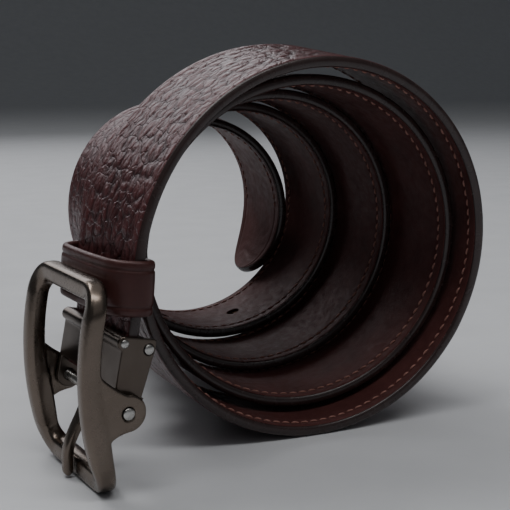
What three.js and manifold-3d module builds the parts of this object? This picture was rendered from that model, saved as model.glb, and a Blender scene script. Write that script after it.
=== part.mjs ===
// A gentleman's dress belt, rolled up and stood on its edge like a wheel.
// The strap is three glued layers. Its buckle is a clip-on clamp buckle with a bowed frame and a prong.
// Millimetres, +Z up. The coil's axis runs along Y, and its open front faces -Y.

import * as THREE from 'three';
import { mergeVertices } from 'three/addons/utils/BufferGeometryUtils.js';
import Module from 'manifold-3d';

const wasm = await Module();
wasm.setup();

// Strap
const STRAP_WIDTH = 30;
const OUTER_THICKNESS = 1.3;
const CORE_THICKNESS = 0.5;
const LINING_THICKNESS = 0.8;
const GLUE_LINE = 0.1;
const STRAP_THICKNESS = OUTER_THICKNESS + CORE_THICKNESS + LINING_THICKNESS + 2 * GLUE_LINE;
const STITCH_INSET = 3;
const THREAD_WIDTH = 0.7;
const THREAD_HEIGHT = 0.35;
const THREAD_CLEARANCE = 0.12;
const TIP_LENGTH = 26;
const TIP_ROUNDNESS = 2.6;
const TIP_BLUNTNESS = 0.03;
const TIP_STEPS = 10;
const HOLE_COUNT = 5;
const HOLE_PITCH = 25;
const FIRST_HOLE_FROM_TIP = 95;
const HOLE_RADIUS = 2;
const HOLE_SIDES = 10;

// Coil: what the outermost turn measures at 9, 12, 3 and 6 o'clock, seen from the front.
// It starts at 9 o'clock and winds over the top, and each further turn lies inside the one before.
const COIL_RADIUS = 48;
const START_STAND_OFF = 7.3;
const OUTER_TURN_SWELL = [START_STAND_OFF, 1.3, 0.9, 0];
const TURN_SLACK = [
  [4.1, 1.5, 0.9, 1.7],
  [3.6, 1.2, 0.8, 0.7],
  [0.8, 1.1, 0.9, 0.7],
  [0.6, 2.6, 3.6, 0.7],
];
// How far back the front edge lies at each half turn, in strap widths: the coil is pushed out
// into a telescope.
const TELESCOPE = [-0.8333, -0.4833, -0.2833, -0.2, 0.2667, 0.65, 1.05, 1.4667, 2.0667, 2.2, 2.2667];
const SET_BACK = TELESCOPE.map((share) => share * STRAP_WIDTH);
// How far out the strap's back edge stands, past its front edge, at each quarter turn.
const FLARE = [3.66, 3.4, 2.61, 0, 0, 0, 0, 0, 0, 0, 0, 0, 2.09, 2.09, 0, 0, 0, 4.18, 1.57, 0];
const COIL_TURNS = 4.62;
const STEPS_PER_TURN = 48;

// Straight start of the strap, which runs down through the keeper into the clamp
const LEAD_PAST_KEEPER = 1.4;
const LEAD_BEND_LENGTH = 12;
const LEAD_PITCH = 11;
const LEAD_FLARE = 2.61;
const LEAD_STEP = 2.5;

// Keeper loop
const KEEPER_WALL = 1.7;
const KEEPER_HEIGHT = 12.5;
const KEEPER_CLEARANCE = 0.8;
const KEEPER_ROOM = 1;
const KEEPER_SIDE_CLEARANCE = 0.6;
const KEEPER_CORNER = 1.2;
const KEEPER_ABOVE_CLAMP = 4.35;
const STAPLE_WIRE = 0.7;
const STAPLE_LENGTH = 7;
const STAPLE_CLEARANCE = 0.05;

// Clamp: a channel of a face plate and two ears, with a toothed jaw behind the strap
const EAR_CLEARANCE = 0.5;
const EAR_THICKNESS = 1.3;
const FACE_CLEARANCE = 0.35;
const FACE_THICKNESS = 1.3;
const CLAMP_MOUTH = 13;
const CLAMP_DEPTH_BEHIND = 5.2;
const EAR_TOP_INSET = 0.6;
const EAR_TOP_CORNER = 1.5;
const EAR_WAIST_UP = 2;
const EAR_WAIST_SPREAD = 0.8;
const EAR_FOOT_RADIUS = 3.2;
const FACE_TOP_DROP = 2.6;
const FACE_FOOT = 1.2;
const PRONG_SLOT_LENGTH = 3.2;
const MOUTH_BAR_RADIUS = 0.9;
const MOUTH_BAR_DROP = 1.5;
const JAW_PIN_RADIUS = 1.1;
const JAW_BARREL_RADIUS = 1.8;
const JAW_PIN_DROP = 2.4;
const JAW_THICKNESS = 1;
const JAW_LENGTH = 11;
const JAW_SIDE_CLEARANCE = 0.4;
const JAW_HEEL = 1.5;
const JAW_LIP_REACH = 1.6;
const JAW_LIP_DROP = 0.6;
const JAW_LIP_THICKNESS = 0.9;
const TOOTH_LEAN = 0.35;
const TOOTHLESS_ROOM = 2;
const TOOTH_HEIGHT = 0.8;
const TOOTH_PITCH = 1.8;
const TOOTH_CLEARANCE = 0.3;
const PIN_CLEARANCE = 0.1;
const PIN_PROUD = 0.4;

// Frame and prong, which both turn on the frame pin below the strap's butt end
const FRAME_PIN_RADIUS = 1.3;
const FRAME_PIN_DROP = 3.6;
const FRAME_ABOVE_PIN = 29.5;
const FRAME_BELOW_PIN = 19.7;
const FRAME_BAR_WIDTH = 5;
const FRAME_BAR_DEPTH = 4.6;
const FRAME_CORNER_RADIUS = 8;
const FRAME_OVER_KEEPER = 2.5;
const FRAME_BOW_RADIUS = 76;
const FRAME_BOW_CENTRE = 8;
const FRAME_SIDE_SWELL = 1.2;
const FRAME_SWELL_BELOW_PIN = 5;
const FRAME_SWELL_REACH = 9;
const FRAME_STEPS = 56;
const FRAME_HANG = 1;
const LUG_CLEARANCE = 0.35;
const LUG_THICKNESS = 1.95;
const LUG_INSET = 0.4;
const LUG_RADIUS = 4.4;
const LUG_TOP_SLOPE = 6.5;
const LUG_SHOULDER = 1.5;
const LUG_THROAT = 6;
const PRONG_WIDTH = 4.2;
const PRONG_TIP_WIDTH = 2.6;
const PRONG_THICKNESS = 2.4;
const PRONG_EYE_WALL = 1.5;
const PRONG_NOTCH_CLEARANCE = 0.3;
const PRONG_NOTCH_DEPTH = 1.2;
const PRONG_SHORT_OF_BAR = 0.3;
const PRONG_KNEE = 1.9;
const PRONG_TIP_ROUNDING = 0.3;
const PIN_SIDES = 20;
const CUT_OVERSHOOT = 1;

// The keeper sits just above the clamp, and the strap runs straight until just past its middle.
const KEEPER_CENTRE_FROM_BUTT = CLAMP_MOUTH + KEEPER_ABOVE_CLAMP + KEEPER_HEIGHT / 2;
const LEAD_LENGTH = KEEPER_CENTRE_FROM_BUTT + LEAD_PAST_KEEPER;

const FINISH = {
  outer: { color: '#3a2226', roughness: 0.55, metalness: 0 },
  core: { color: '#6b5140', roughness: 0.9, metalness: 0 },
  lining: { color: '#45262a', roughness: 0.6, metalness: 0 },
  thread: { color: '#7a4038', roughness: 0.8, metalness: 0 },
  keeper: { color: '#452a2b', roughness: 0.5, metalness: 0 },
  gunmetal: { color: '#6e655c', roughness: 0.35, metalness: 1 },
  steel: { color: '#9c9a96', roughness: 0.3, metalness: 1 },
};

const belt = new THREE.Group();

function addPiece(parent, name, geometry, finish) {
  const mesh = new THREE.Mesh(geometry, new THREE.MeshStandardMaterial(FINISH[finish]));
  mesh.name = name;
  parent.add(mesh);
  return mesh;
}

// A smooth curve through evenly spaced values, read at position x.
function through(values, x) {
  const last = values.length - 1;
  const i = Math.min(Math.max(Math.floor(x), 0), last - 1);
  const f = x - i;
  const b = values[i];
  const c = values[i + 1];
  const a = i > 0 ? values[i - 1] : 2 * b - c;
  const d = i + 2 <= last ? values[i + 2] : 2 * c - b;
  return b + 0.5 * f * (c - a + f * (2 * a - 5 * b + 4 * c - d + f * (3 * (b - c) + d - a)));
}

// A closed skin over rings of points; a looped skin joins its last ring to its first.
// The second half of each ring is split the other way, so that stacked layers stay parallel.
function skin(rings, looped = false) {
  const count = rings[0].length;
  const positions = [];
  const index = [];
  for (const ring of rings) {
    for (const point of ring) positions.push(point.x, point.y, point.z);
  }
  const spans = looped ? rings.length : rings.length - 1;
  for (let i = 0; i < spans; i += 1) {
    const here = i * count;
    const next = ((i + 1) % rings.length) * count;
    for (let j = 0; j < count; j += 1) {
      const k = (j + 1) % count;
      if (j < count / 2) {
        index.push(here + j, next + j, next + k);
        index.push(here + j, next + k, here + k);
      } else {
        index.push(here + j, next + j, here + k);
        index.push(next + j, next + k, here + k);
      }
    }
  }
  if (!looped) {
    const end = (rings.length - 1) * count;
    for (let j = 1; j < count - 1; j += 1) {
      index.push(0, j, j + 1);
      index.push(end, end + j + 1, end + j);
    }
  }
  const geometry = new THREE.BufferGeometry();
  geometry.setAttribute('position', new THREE.Float32BufferAttribute(positions, 3));
  geometry.setIndex(index);
  return facingOut(geometry);
}

// Turns every face round when a closed skin came out inside out.
function facingOut(geometry) {
  const position = geometry.getAttribute('position');
  const index = geometry.getIndex();
  const a = new THREE.Vector3();
  const b = new THREE.Vector3();
  const c = new THREE.Vector3();
  let volume = 0;
  for (let i = 0; i < index.count; i += 3) {
    a.fromBufferAttribute(position, index.getX(i));
    b.fromBufferAttribute(position, index.getX(i + 1));
    c.fromBufferAttribute(position, index.getX(i + 2));
    volume += a.dot(b.cross(c));
  }
  if (volume < 0) {
    for (let i = 0; i < index.count; i += 3) {
      const first = index.getX(i);
      index.setX(i, index.getX(i + 2));
      index.setX(i + 2, first);
    }
  }
  return geometry;
}

function solid(geometry) {
  const bare = geometry.clone();
  bare.deleteAttribute('normal');
  bare.deleteAttribute('uv');
  const merged = mergeVertices(bare, 1e-4);
  return new wasm.Manifold(new wasm.Mesh({
    numProp: 3,
    vertProperties: new Float32Array(merged.getAttribute('position').array),
    triVerts: new Uint32Array(merged.getIndex().array),
  }));
}

function toGeometry(manifold) {
  const mesh = manifold.getMesh();
  const geometry = new THREE.BufferGeometry();
  geometry.setAttribute('position', new THREE.BufferAttribute(mesh.vertProperties, 3));
  geometry.setIndex(new THREE.BufferAttribute(mesh.triVerts, 1));
  return geometry;
}

// ---- The strap's path ----

// Radius of the strap's outer face at its front edge, at each quarter turn.
function coilRadii() {
  const radii = OUTER_TURN_SWELL.map((swell) => COIL_RADIUS + swell);
  for (const turn of TURN_SLACK) {
    for (const slack of turn) {
      radii.push(radii[radii.length - 4] - STRAP_THICKNESS - slack);
    }
  }
  return radii;
}

const RADII = coilRadii();

function coilPoint(turn) {
  const radius = through(RADII, turn * 4);
  const angle = Math.PI * (1 - 2 * turn);
  return new THREE.Vector2(radius * Math.cos(angle), radius * Math.sin(angle));
}

// Each station holds the outer face's point at the front edge, in X and Z, its outward direction,
// the front edge's place along Y, and the outward lean.
function strapStations() {
  const stations = [];
  const start = coilPoint(0);
  const startTangent = coilPoint(0.002).sub(start).normalize();
  const startAngle = Math.atan2(startTangent.x, startTangent.y);
  const pitch = THREE.MathUtils.degToRad(LEAD_PITCH);
  const backPerStep = (SET_BACK[1] - SET_BACK[0]) / (Math.PI * COIL_RADIUS) * LEAD_STEP;
  const leadSteps = Math.round(LEAD_LENGTH / LEAD_STEP);
  const point = start.clone();
  for (let i = 1; i <= leadSteps; i += 1) {
    const bent = THREE.MathUtils.smoothstep((i - 0.5) * LEAD_STEP, 0, LEAD_BEND_LENGTH);
    const angle = THREE.MathUtils.lerp(startAngle, pitch, bent);
    point.x -= Math.sin(angle) * LEAD_STEP;
    point.y -= Math.cos(angle) * LEAD_STEP;
    stations.unshift({
      point: point.clone(),
      front: SET_BACK[0] - backPerStep * LEAD_BEND_LENGTH / LEAD_STEP * (1 - (1 - bent) ** 2) / 2,
      lean: Math.asin(THREE.MathUtils.lerp(FLARE[0], LEAD_FLARE, bent) / STRAP_WIDTH),
    });
  }
  for (const turn of coilTurnSteps()) {
    stations.push({
      point: coilPoint(turn),
      front: through(SET_BACK, turn * 2),
      lean: Math.asin(through(FLARE, turn * 4) / STRAP_WIDTH),
    });
  }
  let travelled = 0;
  stations.forEach((station, i) => {
    const before = stations[Math.max(i - 1, 0)].point;
    const after = stations[Math.min(i + 1, stations.length - 1)].point;
    const along = after.clone().sub(before).normalize();
    station.along = along;
    station.out = new THREE.Vector2(-along.y, along.x);
    if (i > 0) travelled += station.point.distanceTo(before);
    station.travelled = travelled;
  });
  return stations;
}

// Even steps round the coil, and closer ones where the tip narrows.
function coilTurnSteps() {
  const tipTurns = TIP_LENGTH / (2 * Math.PI * through(RADII, COIL_TURNS * 4));
  const bodyTurns = COIL_TURNS - tipTurns;
  const bodySteps = Math.ceil(bodyTurns * STEPS_PER_TURN);
  const turns = [];
  for (let i = 0; i < bodySteps; i += 1) turns.push(bodyTurns * i / bodySteps);
  for (let i = 0; i <= TIP_STEPS; i += 1) {
    turns.push(bodyTurns + tipTurns * Math.sin(i / TIP_STEPS * Math.PI / 2));
  }
  return turns;
}

const STATIONS = strapStations();
const STRAP_LENGTH = STATIONS[STATIONS.length - 1].travelled;

// Half of the strap's width, which narrows to a rounded tip.
function halfWidth(station) {
  const fromTip = STRAP_LENGTH - station.travelled;
  const reach = THREE.MathUtils.clamp(1 - fromTip / TIP_LENGTH, 0, 1);
  return STRAP_WIDTH / 2 * Math.sqrt(1 - (1 - TIP_BLUNTNESS) * reach ** TIP_ROUNDNESS);
}

// A point of the strap: across is measured from its front edge and depth from its outer face.
function onStrap(station, across, depth) {
  const outward = across * Math.sin(station.lean) - depth * Math.cos(station.lean);
  const back = across * Math.cos(station.lean) + depth * Math.sin(station.lean);
  return new THREE.Vector3(
    station.point.x + station.out.x * outward,
    station.front + back,
    station.point.y + station.out.y * outward,
  );
}

function layerGeometry(top, thickness) {
  const rings = STATIONS.map((station) => {
    const half = halfWidth(station);
    const low = STRAP_WIDTH / 2 - half;
    const high = STRAP_WIDTH / 2 + half;
    return [
      onStrap(station, low, top),
      onStrap(station, high, top),
      onStrap(station, high, top + thickness),
      onStrap(station, low, top + thickness),
    ];
  });
  return skin(rings);
}

// ---- Strap layers and stitching ----

// A local group seated on the strap: X points outward, Y to the front and Z up the strap.
function seatOnStrap(fromButt) {
  const after = STATIONS.findIndex((station) => station.travelled >= fromButt);
  const next = STATIONS[Math.max(after, 1)];
  const last = STATIONS[Math.max(after, 1) - 1];
  const share = (fromButt - last.travelled) / (next.travelled - last.travelled);
  const middle = (station) => onStrap(station, STRAP_WIDTH / 2, STRAP_THICKNESS / 2);
  const origin = middle(last).lerp(middle(next), share);
  const up = next.point.clone().sub(last.point).normalize();
  const along = new THREE.Vector3(up.x, 0, up.y);
  const front = onStrap(last, 0, 0).sub(onStrap(last, STRAP_WIDTH, 0)).normalize();
  const outward = front.clone().cross(along).normalize();
  const square = along.clone().cross(outward);
  const group = new THREE.Group();
  group.position.copy(origin);
  group.quaternion.setFromRotationMatrix(new THREE.Matrix4().makeBasis(outward, square, along));
  return group;
}

function holePunch(station) {
  const punch = new THREE.CylinderGeometry(HOLE_RADIUS, HOLE_RADIUS, STRAP_THICKNESS * 3, HOLE_SIDES);
  const middle = onStrap(station, STRAP_WIDTH / 2, STRAP_THICKNESS / 2);
  const surface = onStrap(station, STRAP_WIDTH / 2, 0);
  const direction = surface.sub(middle).normalize();
  const turn = new THREE.Quaternion().setFromUnitVectors(new THREE.Vector3(0, 1, 0), direction);
  punch.applyQuaternion(turn);
  punch.translate(middle.x, middle.y, middle.z);
  return solid(punch);
}

function nearestStation(travelled) {
  return STATIONS.find((station) => station.travelled >= travelled);
}

function punched(geometry) {
  let layer = solid(geometry);
  for (let i = 0; i < HOLE_COUNT; i += 1) {
    const fromTip = FIRST_HOLE_FROM_TIP + i * HOLE_PITCH;
    layer = layer.subtract(holePunch(nearestStation(STRAP_LENGTH - fromTip)));
  }
  return toGeometry(layer);
}

// A row of stitching, as a thin cord lying on the lining at a set distance from the edge.
function stitchRow(fromFront) {
  const low = fromFront - THREAD_WIDTH / 2;
  const high = fromFront + THREAD_WIDTH / 2;
  const top = STRAP_THICKNESS + THREAD_CLEARANCE;
  const first = KEEPER_CENTRE_FROM_BUTT + KEEPER_HEIGHT;
  const rings = STATIONS
    .filter((station) => station.travelled > first)
    .filter((station) => STRAP_LENGTH - station.travelled > TIP_LENGTH)
    .map((station) => [
      onStrap(station, low, top),
      onStrap(station, high, top),
      onStrap(station, high, top + THREAD_HEIGHT),
      onStrap(station, low, top + THREAD_HEIGHT),
    ]);
  return skin(rings);
}

function addStrap() {
  const coreTop = OUTER_THICKNESS + GLUE_LINE;
  const liningTop = coreTop + CORE_THICKNESS + GLUE_LINE;
  addPiece(belt, 'outer_leather', punched(layerGeometry(0, OUTER_THICKNESS)), 'outer');
  addPiece(belt, 'strap_core', punched(layerGeometry(coreTop, CORE_THICKNESS)), 'core');
  addPiece(belt, 'lining', punched(layerGeometry(liningTop, LINING_THICKNESS)), 'lining');
  addPiece(belt, 'front_stitch_row', stitchRow(STITCH_INSET), 'thread');
  addPiece(belt, 'back_stitch_row', stitchRow(STRAP_WIDTH - STITCH_INSET), 'thread');
}

// ---- Keeper loop ----

// A band round the strap with room for the strap's other end, as rings of four points.
function bandRings(low, high, side, corner, wall, bottom, top) {
  const path = new THREE.Path();
  path.moveTo(low + corner, -side);
  path.lineTo(high - corner, -side);
  path.absarc(high - corner, -side + corner, corner, -Math.PI / 2, 0);
  path.lineTo(high, side - corner);
  path.absarc(high - corner, side - corner, corner, 0, Math.PI / 2);
  path.lineTo(low + corner, side);
  path.absarc(low + corner, side - corner, corner, Math.PI / 2, Math.PI);
  path.lineTo(low, -side + corner);
  path.absarc(low + corner, -side + corner, corner, Math.PI, Math.PI * 1.5);
  const points = path.getPoints(5);
  const unique = points.filter((p, i) => p.distanceTo(points[(i + 1) % points.length]) > 1e-6);
  return unique.map((p, i) => {
    const before = unique[(i + unique.length - 1) % unique.length];
    const after = unique[(i + 1) % unique.length];
    const tangent = after.clone().sub(before).normalize();
    const out = new THREE.Vector2(tangent.y, -tangent.x).multiplyScalar(wall);
    return [
      new THREE.Vector3(p.x, p.y, bottom),
      new THREE.Vector3(p.x + out.x, p.y + out.y, bottom),
      new THREE.Vector3(p.x + out.x, p.y + out.y, top),
      new THREE.Vector3(p.x, p.y, top),
    ];
  });
}

const KEEPER_BACK = -(STRAP_THICKNESS / 2 + KEEPER_CLEARANCE);
const KEEPER_FRONT = KEEPER_BACK + 2 * STRAP_THICKNESS + KEEPER_ROOM;

function addKeeper() {
  const seat = seatOnStrap(KEEPER_CENTRE_FROM_BUTT);
  const side = STRAP_WIDTH / 2 + KEEPER_SIDE_CLEARANCE;
  const half = KEEPER_HEIGHT / 2;
  const rings = bandRings(KEEPER_BACK, KEEPER_FRONT, side, KEEPER_CORNER, KEEPER_WALL, -half, half);
  addPiece(seat, 'keeper_loop', skin(rings, true), 'keeper');
  const staple = new THREE.BoxGeometry(STAPLE_WIRE, STAPLE_LENGTH, STAPLE_WIRE);
  staple.translate(KEEPER_BACK - KEEPER_WALL - STAPLE_WIRE / 2 - STAPLE_CLEARANCE, 0, 0);
  addPiece(seat, 'keeper_staple', staple, 'steel');
  belt.add(seat);
}

// ---- Clamp ----

const EAR_INNER = STRAP_WIDTH / 2 + EAR_CLEARANCE;
const EAR_OUTER = EAR_INNER + EAR_THICKNESS;
const FACE_INNER = STRAP_THICKNESS / 2 + FACE_CLEARANCE;
const FACE_OUTER = FACE_INNER + FACE_THICKNESS;
const MOUTH_BAR_AT = new THREE.Vector2(FACE_INNER + MOUTH_BAR_RADIUS, CLAMP_MOUTH - MOUTH_BAR_DROP);
const JAW_BACK = -(STRAP_THICKNESS / 2 + TOOTH_CLEARANCE);
const JAW_PIN_AT = new THREE.Vector2(JAW_BACK - JAW_BARREL_RADIUS, CLAMP_MOUTH - JAW_PIN_DROP);
const FRAME_PIN_AT = new THREE.Vector2(0, -FRAME_PIN_DROP);

// A plate of an outline in outward and up, standing across the strap from low to high.
function plate(shape, low, high, segments = 8) {
  const geometry = new THREE.ExtrudeGeometry(shape, {
    depth: high - low,
    bevelEnabled: false,
    curveSegments: segments,
  });
  geometry.rotateX(Math.PI / 2);
  geometry.translate(0, high, 0);
  return geometry;
}

function pin(radius, low, high, at) {
  const geometry = new THREE.CylinderGeometry(radius, radius, high - low, PIN_SIDES);
  geometry.translate(at.x, (low + high) / 2, at.y);
  return geometry;
}

function slab(outLow, outHigh, low, high, bottom, top) {
  const geometry = new THREE.BoxGeometry(outHigh - outLow, high - low, top - bottom);
  geometry.translate((outLow + outHigh) / 2, (low + high) / 2, (bottom + top) / 2);
  return geometry;
}

function earOutline() {
  const shape = new THREE.Shape();
  const foot = FRAME_PIN_AT.y;
  const back = -CLAMP_DEPTH_BEHIND;
  shape.moveTo(back + EAR_TOP_INSET, CLAMP_MOUTH);
  shape.quadraticCurveTo(back, CLAMP_MOUTH, back, CLAMP_MOUTH - EAR_TOP_CORNER);
  shape.lineTo(-EAR_FOOT_RADIUS - EAR_WAIST_SPREAD, EAR_WAIST_UP);
  shape.lineTo(-EAR_FOOT_RADIUS, foot);
  shape.absarc(0, foot, EAR_FOOT_RADIUS, Math.PI, 2 * Math.PI, false);
  shape.lineTo(FACE_OUTER, FACE_FOOT);
  shape.lineTo(FACE_OUTER, CLAMP_MOUTH);
  shape.closePath();
  return shape;
}

function clampShellGeometry() {
  let shell = solid(plate(earOutline(), EAR_INNER, EAR_OUTER));
  shell = shell.add(solid(plate(earOutline(), -EAR_OUTER, -EAR_INNER)));
  const faceTop = CLAMP_MOUTH - FACE_TOP_DROP;
  const half = EAR_INNER + EAR_THICKNESS / 2;
  shell = shell.add(solid(slab(FACE_INNER, FACE_OUTER, -half, half, FACE_FOOT, faceTop)));
  const slot = PRONG_WIDTH / 2 + PRONG_NOTCH_CLEARANCE;
  const cutLow = FACE_FOOT - CUT_OVERSHOOT;
  const cutHigh = FACE_FOOT + PRONG_SLOT_LENGTH;
  const cut = slab(FACE_INNER - CUT_OVERSHOOT, FACE_OUTER + CUT_OVERSHOOT, -slot, slot, cutLow, cutHigh);
  shell = shell.subtract(solid(cut));
  const reach = EAR_OUTER + CUT_OVERSHOOT;
  for (const [radius, at] of [
    [FRAME_PIN_RADIUS, FRAME_PIN_AT],
    [JAW_PIN_RADIUS, JAW_PIN_AT],
    [MOUTH_BAR_RADIUS, MOUTH_BAR_AT],
  ]) {
    shell = shell.subtract(solid(pin(radius + PIN_CLEARANCE, -reach, reach, at)));
  }
  return toGeometry(shell);
}

// The jaw: a barrel on the jaw pin, a plate down the strap's back, saw teeth and a thumb lip.
function jawGeometry() {
  const half = EAR_INNER - JAW_SIDE_CLEARANCE;
  const plateOut = JAW_BACK - TOOTH_HEIGHT;
  const plateIn = plateOut - JAW_THICKNESS;
  const foot = JAW_PIN_AT.y - JAW_LENGTH;
  const shape = new THREE.Shape();
  shape.moveTo(plateIn, JAW_PIN_AT.y);
  const heel = foot + JAW_HEEL;
  const lipFoot = foot - JAW_LIP_DROP;
  shape.lineTo(plateIn, heel);
  shape.quadraticCurveTo(plateIn, foot, plateIn - JAW_LIP_REACH, lipFoot);
  shape.lineTo(plateIn - JAW_LIP_REACH * 0.75, lipFoot - JAW_LIP_THICKNESS);
  shape.quadraticCurveTo(plateOut, foot - JAW_THICKNESS, plateOut, heel);
  const teeth = Math.floor((JAW_LENGTH - JAW_BARREL_RADIUS - TOOTHLESS_ROOM) / TOOTH_PITCH);
  for (let i = 0; i < teeth; i += 1) {
    shape.lineTo(JAW_BACK, heel + (i + TOOTH_LEAN) * TOOTH_PITCH);
    shape.lineTo(plateOut, heel + (i + 1) * TOOTH_PITCH);
  }
  shape.lineTo(plateOut, JAW_PIN_AT.y);
  shape.closePath();
  let jaw = solid(plate(shape, -half, half, 4));
  jaw = jaw.add(solid(pin(JAW_BARREL_RADIUS, -half, half, JAW_PIN_AT)));
  const bore = pin(JAW_PIN_RADIUS + PIN_CLEARANCE, -half - 1, half + 1, JAW_PIN_AT);
  return toGeometry(jaw.subtract(solid(bore)));
}

function addClamp(seat) {
  addPiece(seat, 'clamp_shell', clampShellGeometry(), 'gunmetal');
  addPiece(seat, 'clamp_jaw', jawGeometry(), 'gunmetal');
  const proud = EAR_OUTER + PIN_PROUD;
  const framePinEnd = LUG_OUTER + PIN_PROUD;
  addPiece(seat, 'jaw_pin', pin(JAW_PIN_RADIUS, -proud, proud, JAW_PIN_AT), 'steel');
  addPiece(seat, 'mouth_bar', pin(MOUTH_BAR_RADIUS, -proud, proud, MOUTH_BAR_AT), 'steel');
  addPiece(seat, 'frame_pin', pin(FRAME_PIN_RADIUS, -framePinEnd, framePinEnd, FRAME_PIN_AT), 'steel');
}

// ---- Frame and prong, in a group whose origin is the frame pin ----

const LUG_INNER = EAR_OUTER + LUG_CLEARANCE;
const LUG_OUTER = LUG_INNER + LUG_THICKNESS;
const FRAME_WIDTH = 2 * (LUG_OUTER + LUG_INSET);

// Outer face of the bowed frame at height up above the pin.
function frameFace(up) {
  const offset = up - FRAME_BOW_CENTRE;
  const sag = FRAME_BOW_RADIUS - Math.sqrt(FRAME_BOW_RADIUS ** 2 - offset ** 2);
  return KEEPER_FRONT + KEEPER_WALL + FRAME_OVER_KEEPER + FRAME_BAR_DEPTH / 2 - sag;
}

// One rounded oblong section of the frame's bar; the sides are deeper towards the front bar.
function frameSection(point, inward, up) {
  const swell = FRAME_SIDE_SWELL * Math.exp(-(((up + FRAME_SWELL_BELOW_PIN) / FRAME_SWELL_REACH) ** 2));
  const deep = FRAME_BAR_DEPTH + swell;
  const face = frameFace(up);
  const outline = [
    [0.0, -0.62], [0.12, -0.9], [0.45, -1], [0.75, -0.86], [1.0, -0.55],
    [1.0, 0.55], [0.8, 0.95], [0.2, 0.95], [0.0, 0.6],
  ];
  return outline.map(([share, depth]) => new THREE.Vector3(
    face - deep / 2 - depth * deep / 2,
    point.x + inward.x * share * FRAME_BAR_WIDTH,
    point.y + inward.y * share * FRAME_BAR_WIDTH,
  ));
}

function frameRing() {
  const half = FRAME_WIDTH / 2;
  const corner = FRAME_CORNER_RADIUS;
  const path = new THREE.Path();
  path.moveTo(-half + corner, -FRAME_BELOW_PIN);
  path.lineTo(half - corner, -FRAME_BELOW_PIN);
  path.absarc(half - corner, -FRAME_BELOW_PIN + corner, corner, -Math.PI / 2, 0);
  path.lineTo(half, FRAME_ABOVE_PIN - corner);
  path.absarc(half - corner, FRAME_ABOVE_PIN - corner, corner, 0, Math.PI / 2);
  path.lineTo(-half + corner, FRAME_ABOVE_PIN);
  path.absarc(-half + corner, FRAME_ABOVE_PIN - corner, corner, Math.PI / 2, Math.PI);
  path.lineTo(-half, -FRAME_BELOW_PIN + corner);
  path.absarc(-half + corner, -FRAME_BELOW_PIN + corner, corner, Math.PI, Math.PI * 1.5);
  const points = path.getSpacedPoints(FRAME_STEPS).slice(0, FRAME_STEPS);
  return points.map((p, i) => {
    const before = points[(i + points.length - 1) % points.length];
    const after = points[(i + 1) % points.length];
    const tangent = after.clone().sub(before).normalize();
    return frameSection(p, new THREE.Vector2(-tangent.y, tangent.x), p.y);
  });
}

// A lug: a rounded tab that reaches from the side bar back to the pin.
function lugOutline() {
  const shape = new THREE.Shape();
  const root = frameFace(0) - FRAME_BAR_DEPTH / 2;
  shape.moveTo(root, LUG_TOP_SLOPE + LUG_RADIUS);
  shape.quadraticCurveTo(LUG_RADIUS * 0.8, LUG_RADIUS + LUG_SHOULDER, 0, LUG_RADIUS);
  shape.absarc(0, 0, LUG_RADIUS, Math.PI / 2, Math.PI * 1.5, false);
  shape.quadraticCurveTo(root * 0.55, -LUG_RADIUS - LUG_SHOULDER / 3, root, -LUG_RADIUS - LUG_THROAT);
  shape.closePath();
  return shape;
}

function frameGeometry() {
  let frame = solid(skin(frameRing(), true));
  frame = frame.add(solid(plate(lugOutline(), LUG_INNER, LUG_OUTER)));
  frame = frame.add(solid(plate(lugOutline(), -LUG_OUTER, -LUG_INNER)));
  const bore = pin(FRAME_PIN_RADIUS + PIN_CLEARANCE, -FRAME_WIDTH, FRAME_WIDTH, new THREE.Vector2());
  frame = frame.subtract(solid(bore));
  return toGeometry(frame.subtract(solid(prongNotch())));
}

// The prong lies in a notch across the middle of the front bar.
const BAR_MIDDLE = -FRAME_BELOW_PIN + FRAME_BAR_WIDTH / 2;
const PRONG_INNER = frameFace(BAR_MIDDLE) - PRONG_NOTCH_DEPTH + PRONG_NOTCH_CLEARANCE;

function prongNotch() {
  const half = PRONG_TIP_WIDTH / 2 + PRONG_NOTCH_CLEARANCE + PRONG_TIP_ROUNDING;
  const low = -FRAME_BELOW_PIN - CUT_OVERSHOOT;
  const high = -FRAME_BELOW_PIN + FRAME_BAR_WIDTH + CUT_OVERSHOOT;
  const floor = PRONG_INNER - PRONG_NOTCH_CLEARANCE;
  return slab(floor, floor + PRONG_THICKNESS * 3, -half, half, low, high);
}

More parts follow.
